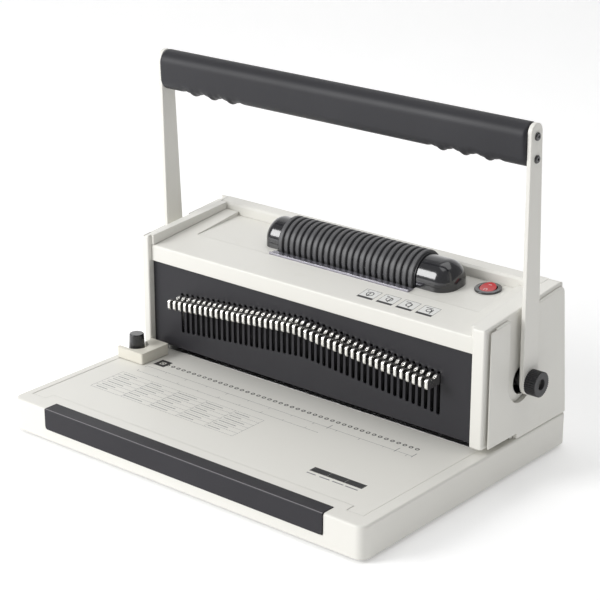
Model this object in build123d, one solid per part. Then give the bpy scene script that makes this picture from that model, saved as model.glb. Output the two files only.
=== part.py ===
from build123d import *
import math
import os

os.makedirs("parts", exist_ok=True)

# Manual coil punch with an electric coil roller: a wide low base with a paper deck, a punching head
# across its back half, and a U-shaped handle that turns about a shaft through the head.
# The sizes are in millimetres. X runs along the punched edge, from its middle. Y runs from the front
# edge of the base to the back, and Z up from the table. At the end everything moves half a base
# depth forward, so that the origin is under the middle of the machine.

# ---- Driving dimensions ----

# Punch row
hole_count = 46
hole_pitch = 6.25
pin_radius = 2.0
pin_head_radius = 2.5
pin_head_height = 2.5
pin_row_y = 172.0
chevron_rise = 12.7
row_half = hole_pitch * (hole_count - 1) / 2

# Base
base_width = 384.0
left_trim = 4.0
base_depth = 275.0
base_height = 28.0
base_corner_radius = 8.0
base_rear_radius = 3.0
base_edge_radius = 2.0
base_wall = 2.5
deck_thickness = 3.0
foot_height = 3.0
foot_radius = 9.0
foot_inset_x = 27.0
foot_inset_y = 25.0
bottom_plate_thickness = 1.2
bottom_plate_gap = 0.4
deck_z = foot_height + base_height

# Paper tray
tray_half_width = 179.5
tray_front_y = 16.0
tray_step_y = 25.0
tray_step_half_width = 164.0
tray_back_y = 165.4
tray_thickness = 1.0
tray_sink = 0.2
tray_gap = 0.4

# Chip drawer
drawer_front_width = 301.0
drawer_front_x = 3.0
drawer_front_bottom = 12.9
drawer_front_thickness = 2.2
drawer_flange_depth = 13.0
drawer_flange_thickness = 1.6
drawer_proud = 1.0
drawer_flange_proud = 0.4
drawer_gap = 0.4
drawer_width = 290.0
drawer_back_y = 188.0
drawer_bottom_z = 13.6
drawer_top_z = 26.5
drawer_floor = 1.4
drawer_wall = 1.6
runner_width = 6.0
runner_length = 180.0

# Paper throat and head
throat_height = 5.0
throat_back_y = 198.0
head_front_y = 157.0
head_bottom_z = deck_z + throat_height
panel_front_y = 163.0
panel_thickness = 2.0
panel_top_z = 114.0
panel_side_gap = 0.3
bay_half_width = 175.5
end_cap_width = 12.0
end_cap_rim = 9.0
end_cap_wall = 2.5
end_cap_hole_radius = 12.5
end_cap_edge = 1.6
left_cap_edge = 6.5
lip_front_x = 172.5
lip_back_x = 168.0
side_cover_front_y = 162.0
side_cover_drop = 3.0
side_cover_draft = 1.5
side_groove_width = 2.3
side_groove_depth = 9.0
side_corner_radius = 5.0
seam = 0.3
rear_lean = 8.0
rear_wall = 2.5
rim_front_z = 137.5
rim_slope = 0.10
fascia_y = 161.0
fascia_top_z = 128.5
top_slope = 0.135
top_wall = 2.5
recess_front_y = 198.0
recess_half_width = 153.5
recess_front_drop = 0.5
recess_back_drop = 3.5
back_rim_front_y = 254.0

# Handle
pivot_y = 212.0
pivot_z = 80.0
handle_lean = 1.9
arm_length = 208.5
arm_pivot_radius = 11.0
arm_top_radius = 7.7
arm_thickness = 4.0
arm_clear = 0.4
grip_height = 35.5
grip_depth = 22.0
grip_bump_height = 1.8
grip_bump_radius = 6.0
grip_bump_pitch = 22.0
grip_bump_first = 112.0
grip_screw_radius = 3.4
grip_screw_spacing = 18.2
grip_screw_head = 1.6
channel_front_y = 188.5
channel_width = 33.5
shaft_radius = 6.0
shaft_neck_radius = 5.0
knob_stud_radius = 4.0
running_gap = 0.05
press_gap = 0.02
knob_radius = 10.6
knob_width = 10.0
knob_teeth = 36

# Frame and drive
frame_inner = 170.0
frame_thickness = 3.0
frame_back_y = 262.0
bush_radius = 9.0
bush_length = 8.0
gear_module = 1.4
gear_teeth = 18
gear_width = 8.0
gear_x = 154.0
backlash = 0.3
handle_swing = 90.0
die_thickness = 4.0
die_front_y = 166.0
die_back_y = 182.0
paper_stop_depth = 3.5
guide_block_height = 17.0
guide_rod_radius = 4.0
guide_rod_x = 154.0
guide_rod_y = 177.0
beam_half_length = 162.0
beam_front_y = 166.5
beam_back_y = 186.0
beam_height = 20.0
tie_bar_z = 114.0
tie_bar_height = 6.0
spring_coil_radius = 6.3
spring_wire_radius = 0.6
spring_turns = 9

# Keys: the flat pull-out tabs that lock each pin to the beam
key_width = 3.0
key_height = 9.3
key_front_y = 145.0
key_back_y = 180.0
key_rest_z = 83.7
key_gap = 0.1
slot_width = 3.6
slot_top_above_key = 6.3
slot_length = 38.0

# Coil roller
roller_x = 6.25
roller_y = 229.0
roller_z = 139.5
ring_count = 23
ring_radius = 21.5
ring_half_span = 73.75
ring_width_share = 0.62
core_radius = 19.6
roller_shaft_radius = 4.0
cap_radius = 18.5
cap_wall = 2.0
left_cap_end = 87.0
right_cap_end = 113.0
roller_gap = 0.7
coil_guide_front_y = 198.5
coil_guide_back_y = 206.0
coil_guide_left = -69.0
coil_guide_right = 82.0
coil_guide_thickness = 1.0
pulley_x = 96.0
pulley_width = 8.0
roller_pulley_radius = 12.0
motor_pulley_radius = 6.0
motor_y = 244.0
motor_z = 92.0
motor_radius = 17.0
motor_shaft_radius = 2.0
belt_thickness = 1.2
belt_gap = 0.3
belt_width = 6.0
ear_thickness = 3.0
left_ear_x = -74.0
right_ear_x = 84.5

# Switch, inlet and margin guide
switch_x = 133.4
switch_y = 240.0
switch_flange_radius = 11.6
switch_body_radius = 9.6
switch_tilt = 11.0
rocker_radius = 7.2
rocker_gap = 0.8
inlet_x = 120.0
inlet_z = 62.0
inlet_width = 27.4
inlet_height = 19.8
inlet_proud = 1.0
screw_columns = (-160, 160)
screw_rows = (48, 120)
guide_x = -151.6
guide_width = 31.0
guide_front_y = 121.0
guide_back_y = 155.0
guide_height = 10.0
guide_floor = 3.0
guide_travel = 6.0
margin_knob_x = -171.6
margin_knob_y = 135.0
margin_knob_bottom_radius = 7.4
margin_knob_top_radius = 6.5
margin_knob_height = 18.0
margin_knob_flutes = 12
margin_stud_radius = 2.5

# ---- Values that follow from the driving dimensions ----

half_width = base_width / 2
pin_x = [hole_pitch * i - row_half for i in range(hole_count)]
pitch_radius = gear_module * gear_teeth / 2
stroke = pitch_radius * math.radians(handle_swing)
cap_outer = bay_half_width + end_cap_width
left_cap_outer = cap_outer - left_trim
arm_inner = half_width + arm_clear
arm_outer = arm_inner + arm_thickness
origin_y = base_depth / 2
guide_block_top = head_bottom_z + guide_block_height
beam_bottom = key_rest_z - key_height / 2 - 4.0
recess_back_y = back_rim_front_y - seam
lean_angle = math.radians(handle_lean)
handle_up = (-math.sin(lean_angle), math.cos(lean_angle))


def rise(x):
    """How far the chevron stands above the ends of the punch row at x."""
    return chevron_rise * max(0.0, 1 - abs(x) / row_half)


def top_z(y):
    """Height of the sloping top of the head at y."""
    return fascia_top_z + top_slope * (y - fascia_y)


def rim_z(y):
    """Height of the raised rims beside and behind the top."""
    return rim_front_z + rim_slope * (y - head_front_y)


def recess_z(y):
    """Height of the recessed floor that the coil roller stands in."""
    front = top_z(recess_front_y) - recess_front_drop
    back = top_z(recess_back_y) - recess_back_drop
    return front + (back - front) * (y - recess_front_y) / (recess_back_y - recess_front_y)


def rear_y(z):
    """Outer face of the back of the head, which leans forward as it rises."""
    top = rim_z(base_depth - rear_lean)
    return base_depth - rear_lean * (z - deck_z) / (top - deck_z)


# ---- Small building blocks ----


def block(x0, x1, y0, y1, z0, z1):
    """Rectangular block between two corners."""
    return Pos((x0 + x1) / 2, (y0 + y1) / 2, (z0 + z1) / 2) * Box(x1 - x0, y1 - y0, z1 - z0)


def across(points, x0, x1):
    """Outline in Y and Z, extruded along X from x0 to x1."""
    plane = Plane(origin=(x0, 0, 0), x_dir=(0, 1, 0), z_dir=(1, 0, 0))
    return extrude(plane * Polygon(*points, align=None), amount=x1 - x0, dir=(1, 0, 0))


def along(points, y0, y1):
    """Outline in X and Z, extruded along Y from y0 to y1."""
    plane = Plane(origin=(0, y1, 0), x_dir=(1, 0, 0), z_dir=(0, -1, 0))
    return extrude(plane * Polygon(*points, align=None), amount=y1 - y0, dir=(0, -1, 0))


def upward(points, z0, z1):
    """Outline in X and Y, extruded up from z0 to z1."""
    return extrude(Plane.XY.offset(z0) * Polygon(*points, align=None), amount=z1 - z0, dir=(0, 0, 1))


def rod_x(y, z, radius, x0, x1):
    """Round bar along X."""
    return Pos((x0 + x1) / 2, y, z) * Rot(0, 90, 0) * Cylinder(radius, x1 - x0)


def rod_y(x, z, radius, y0, y1):
    """Round bar along Y."""
    return Pos(x, (y0 + y1) / 2, z) * Rot(90, 0, 0) * Cylinder(radius, y1 - y0)


def rod_z(x, y, radius, z0, z1):
    """Upright round bar."""
    return Pos(x, y, (z0 + z1) / 2) * Cylinder(radius, z1 - z0)


def both_sides(shape):
    """The shape and its mirror image in the middle plane."""
    return [shape, mirror(shape, about=Plane.YZ)]


def save(name, *solids):
    """Write one node, moved so that the origin is under the middle of the machine."""
    shapes = []
    for solid in solids:
        shapes += list(Pos(0, -origin_y, 0) * s for s in solid.solids())
    whole = shapes[0] if len(shapes) == 1 else Compound(children=shapes)
    whole.label = name
    export_step(whole, f"parts/{name}.step")
    print(name, len(shapes), round(sum(s.volume for s in shapes)))


# ---- Base ----


def tray_outline(gap):
    """Outline of the paper tray, grown by the gap."""
    side = tray_half_width + gap
    step = tray_step_half_width - gap
    front = tray_front_y - gap
    inner = tray_step_y - gap
    back = tray_back_y
    half = [(step, inner), (step, front), (side, front), (side, back)]
    return half + [(-x, y) for x, y in reversed(half)]


def margin_slot(gap, z0, z1):
    """Slot that the clamp stud of the margin guide slides along."""
    half = guide_travel + margin_stud_radius + gap
    reach = margin_stud_radius + gap
    return block(margin_knob_x - half, margin_knob_x + half,
                 margin_knob_y - reach, margin_knob_y + reach, z0, z1)


def base_casing():
    outline = Rectangle(base_width - left_trim, base_depth)
    middle = Pos(left_trim / 2, base_depth / 2, foot_height)
    outer = extrude(middle * outline, amount=base_height)
    outer = fillet(outer.edges().filter_by(Axis.Z).group_by(Axis.Y)[0], base_corner_radius)
    outer = fillet(outer.edges().filter_by(Axis.Z).group_by(Axis.Y)[-1], base_rear_radius)
    outer = fillet(outer.edges().group_by(Axis.Z)[-1], base_edge_radius)
    hollow = RectangleRounded(base_width - left_trim - 2 * base_wall, base_depth - 2 * base_wall,
                              base_corner_radius - base_wall)
    inner_height = base_height - deck_thickness
    shell = outer - extrude(middle * hollow, amount=inner_height)
    shell -= upward(tray_outline(tray_gap), deck_z - tray_thickness - tray_sink, deck_z + 1)
    mouth = drawer_front_width / 2 + drawer_gap
    left = drawer_front_x - mouth
    right = drawer_front_x + mouth
    shell -= block(left, right, -1, base_wall + 1, drawer_front_bottom - drawer_gap, deck_z + 1)
    flange_bed = deck_z + drawer_flange_proud - drawer_flange_thickness - drawer_gap
    shell -= block(left, right, -1, drawer_flange_depth + drawer_gap, flange_bed, deck_z + 1)
    shell -= block(-frame_inner - seam, frame_inner + seam, die_front_y - seam, die_back_y + seam,
                   foot_height + bottom_plate_thickness, deck_z + 1)
    well = bay_half_width + 1
    shell -= block(-well, well, throat_back_y + 1.5, frame_back_y + 0.5, deck_z - deck_thickness - 1,
                   deck_z + 1)
    shell -= margin_slot(0.5, deck_z - deck_thickness - 1, deck_z + 1)
    return shell


def bottom_plate():
    inset = base_wall + bottom_plate_gap
    outline = RectangleRounded(base_width - left_trim - 2 * inset, base_depth - 2 * inset,
                               base_corner_radius - inset)
    middle = Pos(left_trim / 2, base_depth / 2, foot_height)
    return extrude(middle * outline, amount=bottom_plate_thickness)


def rubber_feet():
    feet = []
    for x in (-half_width + left_trim + foot_inset_x, half_width - foot_inset_x):
        for y in (foot_inset_y, base_depth - foot_inset_y):
            foot = rod_z(x, y, foot_radius, 0, foot_height)
            feet.append(fillet(foot.edges().group_by(Axis.Z)[0], 0.8))
    return feet


def tray_plate():
    top = deck_z - tray_sink
    plate = upward(tray_outline(0), top - tray_thickness, top)
    return plate - margin_slot(0.3, top - tray_thickness - 1, top + 1)


def drawer_runners():
    top = drawer_bottom_z - 0.3
    x1 = drawer_width / 2
    rail = block(x1 - runner_width, x1, 6, 6 + runner_length, foot_height + bottom_plate_thickness, top)
    return both_sides(rail)


def drawer_front():
    half = drawer_front_width / 2
    top = deck_z + drawer_flange_proud
    back = drawer_front_thickness - drawer_proud
    angle = [(-drawer_proud, drawer_front_bottom), (back, drawer_front_bottom),
             (back, top - drawer_flange_thickness), (drawer_flange_depth, top - drawer_flange_thickness),
             (drawer_flange_depth, top), (-drawer_proud, top)]
    strip = across(angle, drawer_front_x - half, drawer_front_x + half)
    bend = strip.edges().filter_by(Axis.X).sort_by_distance((drawer_front_x, -drawer_proud, top))[0]
    strip = fillet(bend, 1.0)
    lower = strip.edges().filter_by(Axis.Y).group_by(Axis.Z)[0]
    return fillet(lower, 3.0)


def drawer_box():
    """Open box, as its floor and four walls welded edge to edge."""
    half = drawer_width / 2
    front = drawer_front_thickness - drawer_proud
    floor_top = drawer_bottom_z + drawer_floor
    floor = block(-half, half, front, drawer_back_y, drawer_bottom_z, floor_top)
    ends = [block(-half, half, y, y + drawer_wall, floor_top, drawer_top_z)
            for y in (front, drawer_back_y - drawer_wall)]
    sides = both_sides(block(half - drawer_wall, half, front + drawer_wall, drawer_back_y - drawer_wall,
                             floor_top, drawer_top_z))
    return [floor] + ends + sides


# ---- Frame, die and guides ----


def frame_plate():
    deck_under = deck_z - deck_thickness - 0.2
    outline = [(die_front_y - 6, 8), (frame_back_y, 8), (frame_back_y, 122), (die_front_y + 2, 122),
               (die_front_y + 2, head_bottom_z + 0.2), (throat_back_y + 2, head_bottom_z + 0.2),
               (throat_back_y + 2, deck_under), (die_front_y - 6, deck_under)]
    plate = across(outline, frame_inner, frame_inner + frame_thickness)
    return plate - rod_x(pivot_y, pivot_z, bush_radius + press_gap, frame_inner - 1,
                         frame_inner + frame_thickness + 1)


def die_plate():
    top = deck_z - 0.05
    plate = block(-frame_inner, frame_inner, die_front_y, die_back_y, top - die_thickness, top)
    for x in pin_x:
        plate -= rod_z(x, pin_row_y, pin_radius + 0.06, top - die_thickness - 1, top + 1)
    return plate


def paper_stop():
    """Bar behind the pins that the edge of the paper meets."""
    return block(-frame_inner, frame_inner, die_back_y - paper_stop_depth, die_back_y - 0.2, deck_z,
                 head_bottom_z)


def punch_guide():
    bar = block(-frame_inner, frame_inner, beam_front_y, die_back_y, head_bottom_z + 0.2, guide_block_top)
    for x in pin_x:
        bar -= rod_z(x, pin_row_y, pin_radius + running_gap, head_bottom_z - 1, guide_block_top + 1)
    for x in (-guide_rod_x, guide_rod_x):
        bar -= rod_z(x, guide_rod_y, guide_rod_radius + press_gap, guide_block_top - 12,
                     guide_block_top + 1)
    return bar


def guide_rods():
    bottom = guide_block_top - 12
    return both_sides(rod_z(guide_rod_x, guide_rod_y, guide_rod_radius, bottom, tie_bar_z + tie_bar_height))


def tie_bar():
    bar = block(-frame_inner, frame_inner, beam_front_y + 2, beam_back_y, tie_bar_z,
                tie_bar_z + tie_bar_height)
    for x in (-guide_rod_x, guide_rod_x):
        bar -= rod_z(x, guide_rod_y, guide_rod_radius + press_gap, tie_bar_z - 1,
                     tie_bar_z + tie_bar_height + 1)
    return bar


def return_springs():
    bottom = beam_bottom + beam_height + 0.7
    top = tie_bar_z - 0.7
    coil = Helix(pitch=(top - bottom) / spring_turns, height=top - bottom, radius=spring_coil_radius)
    wire = Plane(origin=coil @ 0, z_dir=coil % 0) * Circle(spring_wire_radius)
    spring = Pos(guide_rod_x, guide_rod_y, bottom) * sweep(wire, path=coil)
    return both_sides(spring)


def shaft_bushes():
    x0 = frame_inner + frame_thickness - bush_length
    bush = rod_x(pivot_y, pivot_z, bush_radius, x0, x0 + bush_length)
    bush -= rod_x(pivot_y, pivot_z, shaft_radius + running_gap, x0 - 1, x0 + bush_length + 1)
    return both_sides(bush)


# ---- Head covers ----


def slot_shape(x, z_top, depth0, depth1):
    """Round-ended upright slot through the front panel."""
    radius = slot_width / 2
    low = z_top - slot_length + radius
    high = z_top - radius
    cut = block(x - radius, x + radius, depth0, depth1, low, high)
    return [cut, rod_y(x, low, radius, depth0, depth1), rod_y(x, high, radius, depth0, depth1)]


def front_panel():
    half = bay_half_width - panel_side_gap
    back = panel_front_y + panel_thickness
    sheet = block(-half, half, panel_front_y, back, head_bottom_z + 0.2, panel_top_z)
    cuts = []
    for x in pin_x:
        cuts += slot_shape(x, key_rest_z + rise(x) + slot_top_above_key, panel_front_y - 1, back + 1)
    return sheet - cuts


def end_cap_outline(inset):
    """Side outline of an end cap, with its top along the rim."""
    bottom = head_bottom_z + inset
    y0 = head_front_y + inset
    back_low = rear_y(deck_z) - rear_wall - seam - inset
    back_high = rear_y(rim_z(base_depth)) - rear_wall - seam - inset
    return [(y0, bottom), (throat_back_y + inset, bottom), (throat_back_y + inset, deck_z + seam + inset),
            (back_low, deck_z + seam + inset), (back_high, rim_z(back_high) - inset), (y0, rim_z(y0) - inset)]


def rim_lip():
    """Upper edge of the right end cap, which overhangs the side of the sloping top."""
    back = back_rim_front_y - seam
    front = fascia_y
    plan = upward([(bay_half_width + 1, front), (lip_front_x, front), (lip_back_x, back),
                   (bay_half_width + 1, back)], 100, 170)
    return plan & across([(front, top_z(front) + seam), (back, top_z(back) + seam), (back, rim_z(back)),
                          (front, rim_z(front))], lip_back_x - 1, bay_half_width + 1)


def end_cap(outer_x, edge):
    """End cap in its right-hand form, out to outer_x, with its upper outer edge rounded."""
    cap = across(end_cap_outline(0), bay_half_width, outer_x)
    outer_edges = cap.faces().sort_by(Axis.X)[-1].edges()
    cap = fillet(outer_edges.group_by(Axis.Z)[-1], edge)
    cap = fillet(cap.edges().filter_by(Axis.Z).group_by(Axis.Y)[0], end_cap_edge)
    cap += rim_lip()
    cap -= across(end_cap_outline(end_cap_rim), bay_half_width - 1, outer_x - end_cap_wall)
    return cap - rod_x(pivot_y, pivot_z, end_cap_hole_radius, outer_x - end_cap_wall - 1, outer_x + 1)


def side_cover_outline(inset):
    """Side outline of an outer side cover."""
    y0 = side_cover_front_y + inset
    bottom = head_bottom_z + inset
    low = deck_z + seam + inset
    high_y = rear_y(rim_z(base_depth)) - inset
    drop = side_cover_drop + inset
    return [(y0, bottom), (throat_back_y + 4 + inset, bottom), (throat_back_y + 4 + inset, low),
            (rear_y(low) - inset, low), (high_y, rim_z(high_y) - drop), (y0, rim_z(y0) - drop)]


def cover_face_x(z):
    """Outer face of a side cover, which leans inwards as it rises."""
    return half_width - 0.2 - side_cover_draft * (z - deck_z) / (rim_z(base_depth) - deck_z)


def handle_channel():
    """Slot beside the arm, from the rim down round the pivot."""
    z_top = rim_z(base_depth) + 5
    radius = channel_width / 2
    centre = channel_front_y + radius
    slot = block(cap_outer, half_width + 5, centre - radius, centre + radius, pivot_z, z_top)
    return slot + rod_x(centre, pivot_z, radius, cap_outer, half_width + 5)


def side_cover():
    inner = cap_outer + seam
    body = across(side_cover_outline(0), inner, half_width + 5)
    top = rim_z(base_depth)
    back_corner = (inner, rear_y(top), top - side_cover_drop)
    corner = body.edges().filter_by(Axis.X).sort_by_distance(back_corner)[0]
    body = fillet(corner, side_corner_radius)
    lean = along([(inner - 1, deck_z - 1), (cover_face_x(deck_z - 1), deck_z - 1),
                  (cover_face_x(top), top), (inner - 1, top)], 0, base_depth + 5)
    cover = body & lean
    outer = cover.faces().filter_by(GeomType.PLANE).sort_by(Axis.X)[-1]
    cover = fillet(outer.edges(), 1.2)
    cover -= handle_channel()
    groove_end = side_cover_front_y + side_groove_depth
    cover -= block(inner - 1, cap_outer + side_groove_width, side_cover_front_y - 1, groove_end, 0, 170)
    return cover - rod_x(pivot_y, pivot_z, shaft_radius + 1, inner - 1, half_width + 5)


def top_cover():
    half = bay_half_width - seam
    back = recess_back_y
    under = top_wall
    outer = [(fascia_y, panel_top_z), (fascia_y, fascia_top_z), (back, top_z(back)),
             (back, recess_z(back) - under), (recess_front_y, recess_z(recess_front_y) - under),
             (fascia_y + under, fascia_top_z - under), (fascia_y + under, panel_top_z)]
    cover = across(outer, -half, half)
    nose = cover.edges().filter_by(Axis.X).sort_by_distance((0, fascia_y, fascia_top_z))[0]
    cover = fillet(nose, 1.8)
    hollow = [(recess_front_y, recess_z(recess_front_y)), (back + 1, recess_z(back + 1)),
              (back + 1, 170), (recess_front_y, 170)]
    cover -= across(hollow, -recess_half_width, recess_half_width)
    well_half = ring_half_span + 1.0
    reach = ring_radius + roller_gap + 0.3
    cover -= block(roller_x - well_half, roller_x + well_half, roller_y - reach, roller_y + reach, 100, 170)
    cover -= block(-left_cap_end + cap_wall + 1, right_cap_end - cap_wall - 8, roller_y - 16.0,
                   roller_y + 16.0, 100, 170)
    hole = rod_z(switch_x, switch_y, switch_body_radius + 0.2, 100, 170)
    return cover - hole


def rear_cover():
    low = deck_z + seam
    rim_back = rear_y(rim_z(base_depth))
    wall = [(rear_y(low), low), (rim_back, rim_z(rim_back)),
            (rim_back - rear_wall, rim_z(rim_back) - 0.3), (rear_y(low) - rear_wall, low)]
    cover = across(wall, -left_cap_outer, cap_outer)
    crest = cover.edges().filter_by(Axis.X).sort_by_distance((0, rim_back, rim_z(rim_back)))[0]
    cover = fillet(crest, 1.6)
    bay = bay_half_width - seam
    rim = [(back_rim_front_y, 130), (back_rim_front_y, rim_z(back_rim_front_y) - 2),
           (back_rim_front_y + 2, rim_z(back_rim_front_y + 2)), (rim_back - 0.5, rim_z(rim_back - 0.5)),
           (rim_back - 1.8, 130), (rim_back - 1.8 - rear_wall, 130),
           (rim_back - 2.4 - rear_wall, rim_z(rim_back) - 4), (back_rim_front_y + rear_wall,
                                                              rim_z(back_rim_front_y) - 4),
           (back_rim_front_y + rear_wall, 130)]
    cover += across(rim, -bay, bay)
    half_w = inlet_width / 2 + 0.2
    half_h = inlet_height / 2 + 0.2
    cover -= block(inlet_x - half_w, inlet_x + half_w, 240, 280, inlet_z - half_h, inlet_z + half_h)
    for i in range(9):
        x = -100 + 10 * i
        cover -= block(x, x + 4, 250, 280, 60, 96)
    for x in screw_columns:
        for z in screw_rows:
            cover -= rod_y(x, z, 1.6, 250, 280)
    return cover


# ---- Handle ----


def handle_point(distance, side=0.0):
    """Y and Z of a point along the leaning handle."""
    y = pivot_y + distance * handle_up[0] + side * handle_up[1]
    z = pivot_z + distance * handle_up[1] - side * handle_up[0]
    return y, z


def handle_arm():
    plane = Plane(origin=(arm_inner, pivot_y, pivot_z), x_dir=(0, handle_up[1], -handle_up[0]),
                  z_dir=(1, 0, 0))
    big = Circle(arm_pivot_radius).edge()
    small = (Pos(0, arm_length) * Circle(arm_top_radius)).edge()
    arm = extrude(plane * make_hull([big, small]), amount=arm_thickness, dir=(1, 0, 0))
    outer = arm.faces().sort_by(Axis.X)
    arm = fillet(outer[0].edges() + outer[-1].edges(), 0.6)
    arm -= rod_x(pivot_y, pivot_z, shaft_neck_radius + press_gap, arm_inner - 1, arm_outer + 1)
    for distance in screw_distances:
        y, z = handle_point(distance)
        arm -= rod_x(y, z, 2.1, arm_inner - 1, arm_outer + 1)
    return arm


screw_distances = (arm_length - 3.0 - grip_screw_spacing, arm_length - 3.0)
grip_centre = arm_length + arm_top_radius - grip_height / 2


def handle_grip():
    y, z = handle_point(grip_centre)
    plane = Plane(origin=(-arm_inner + 0.1, y, z), x_dir=(0, handle_up[1], -handle_up[0]),
                  z_dir=(1, 0, 0))
    outline = plane * SlotOverall(grip_height, grip_depth, rotation=90)
    grip = extrude(outline, amount=2 * (arm_inner - 0.1), dir=(1, 0, 0))
    low = -grip_height / 2 - grip_bump_height + grip_bump_radius
    for side in (-1, 1):
        for i in range(3):
            x = side * (grip_bump_first + i * grip_bump_pitch)
            yb, zb = handle_point(grip_centre + low)
            bump = Cylinder(grip_bump_radius, grip_depth * 0.5)
            grip += Pos(x, yb, zb) * Rot(90 + handle_lean, 0, 0) * bump
    for distance in screw_distances:
        ys, zs = handle_point(distance)
        for x0, x1 in ((-arm_inner - 1, -arm_inner + 14), (arm_inner - 14, arm_inner + 1)):
            grip -= rod_x(ys, zs, 1.6, x0, x1)
    return grip


def grip_screws():
    screws = []
    for distance in screw_distances:
        y, z = handle_point(distance)
        head = rod_x(y, z, grip_screw_radius, arm_outer, arm_outer + grip_screw_head)
        head = fillet(head.edges().sort_by(Axis.X)[-1], 1.0)
        socket = Pos(arm_outer + grip_screw_head, y, z) * Rot(0, 90, 0) * Cylinder(1.1, 1.6)
        screw = head + rod_x(y, z, 1.55, arm_outer - 16, arm_outer) - socket
        screws += both_sides(screw)
    return screws


def main_shaft():
    shaft = rod_x(pivot_y, pivot_z, shaft_radius, -arm_inner, arm_inner)
    shaft += rod_x(pivot_y, pivot_z, shaft_neck_radius, -arm_outer, arm_outer)
    end = arm_outer + knob_width - 3
    return shaft + rod_x(pivot_y, pivot_z, knob_stud_radius, -end, end)


def gear_points():
    """Involute outline of the pinion, with one tooth centred on the local -X side."""
    base = pitch_radius * math.cos(math.radians(20))
    root = pitch_radius - 1.25 * gear_module
    tip = pitch_radius + gear_module
    inv_pitch = math.tan(math.radians(20)) - math.radians(20)
    half_tooth = (math.pi * gear_module / 2 - backlash / 2) / (2 * pitch_radius)
    flank = []
    for i in range(6):
        radius = base + (tip - base) * i / 5
        roll = math.acos(base / radius)
        flank.append((radius, half_tooth + inv_pitch - (math.tan(roll) - roll)))
    points = []
    for tooth in range(gear_teeth):
        centre = math.pi + 2 * math.pi * tooth / gear_teeth
        start = (root, flank[0][1] + 0.02)
        for radius, angle in [start] + flank:
            points.append((radius, centre - angle))
        for radius, angle in reversed([start] + flank):
            points.append((radius, centre + angle))
    return [(r * math.cos(a), r * math.sin(a)) for r, a in points]


def pinion():
    points = [(pivot_y + y, pivot_z + z) for y, z in gear_points()]
    gear = across(points, gear_x - gear_width / 2, gear_x + gear_width / 2)
    hub_end = frame_inner - bush_length + frame_thickness - 0.4
    gear += rod_x(pivot_y, pivot_z, 9.0, gear_x + gear_width / 2, hub_end)
    return gear - rod_x(pivot_y, pivot_z, shaft_radius + press_gap, gear_x - 20, gear_x + 20)


def rack():
    pitch = math.pi * gear_module
    pitch_y = pivot_y - pitch_radius
    root_y = pitch_y - 1.25 * gear_module
    tip_y = pitch_y + gear_module
    slope = math.tan(math.radians(20))
    half = pitch / 4 - backlash / 4
    below = 2
    above = math.ceil(stroke / pitch) + 2
    low = pivot_z - (below + 0.5) * pitch
    high = pivot_z + (above + 0.5) * pitch
    points = [(beam_back_y + 0.02, low), (root_y, low)]
    for i in range(-below, above):
        centre = pivot_z + (i + 0.5) * pitch
        wide = half + (pitch_y - root_y) * slope
        thin = half - (tip_y - pitch_y) * slope
        points += [(root_y, centre - wide), (tip_y, centre - thin), (tip_y, centre + thin),
                   (root_y, centre + wide)]
    points += [(root_y, high), (beam_back_y + 0.02, high)]
    return across(points, gear_x - gear_width / 2 + 0.5, gear_x + gear_width / 2 - 0.5)


def toothed_knob(radius, width, teeth, depth):
    """Round knob along +Z with coarse teeth round its rim."""
    points = []
    for i in range(teeth):
        for share, r in ((0.0, radius - depth), (0.25, radius), (0.6, radius), (0.85, radius - depth)):
            angle = 2 * math.pi * (i + share) / teeth
            points.append((r * math.cos(angle), r * math.sin(angle)))
    return extrude(Polygon(*points, align=None), amount=width, dir=(0, 0, 1))


def pivot_knob():
    knob = toothed_knob(knob_radius, knob_width, knob_teeth, 0.7)
    knob -= Pos(0, 0, (knob_width - 2.6) / 2) * Cylinder(knob_stud_radius + running_gap, knob_width - 2.6)
    knob -= Pos(0, 0, knob_width - 1.3) * Cylinder(4.6, 2.6)
    return Pos(arm_outer + 0.1, pivot_y, pivot_z) * Rot(0, 90, 0) * knob


# ---- Punch beam, pins and keys ----


def punch_beam():
    low = beam_bottom
    high = beam_bottom + beam_height
    outline = [(-beam_half_length, low), (-row_half, low), (0, low + chevron_rise), (row_half, low),
               (beam_half_length, low), (beam_half_length, high), (row_half, high),
               (0, high + chevron_rise), (-row_half, high), (-beam_half_length, high)]
    beam = along(outline, beam_front_y, beam_back_y)
    cuts = []
    for x in pin_x:
        key_low = key_rest_z + rise(x) - key_height / 2
        wide = key_width / 2 + key_gap
        cuts.append(block(x - wide, x + wide, beam_front_y - 1, beam_back_y - 3, key_low - key_gap,
                          key_low + key_height + key_gap))
        cuts.append(rod_z(x, pin_row_y, pin_radius + 0.1, key_low - 20, key_low))
        cuts.append(rod_z(x, pin_row_y, pin_head_radius + 0.1, key_low - pin_head_height - 0.3, key_low))
    for x in (-guide_rod_x, guide_rod_x):
        cuts.append(rod_z(x, guide_rod_y, guide_rod_radius + running_gap, low - 5, high + 5))
    return beam - cuts


def punch_pins():
    pins = []
    for x in pin_x:
        top = key_rest_z + rise(x) - key_height / 2 - key_gap - 0.1
        tip = head_bottom_z + 0.7 + rise(x)
        pin = rod_z(x, pin_row_y, pin_radius, tip, top)
        pins.append(pin + rod_z(x, pin_row_y, pin_head_radius, top - pin_head_height, top))
    return pins


def key(x):
    """Flat pull-out tab with a finger dip in its upper edge."""
    z0 = key_rest_z + rise(x) - key_height / 2
    z1 = z0 + key_height
    front = key_front_y
    outline = [(front, z0 + 1.2), (front + 1.2, z0), (key_back_y, z0), (key_back_y, z1),
               (front + 13.5, z1), (front + 12.0, z1 - 2.6), (front + 6.5, z1 - 2.6), (front + 5.0, z1),
               (front + 1.2, z1), (front, z1 - 1.2)]
    return across(outline, x - key_width / 2, x + key_width / 2)


# ---- Coil roller and its drive ----


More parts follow.
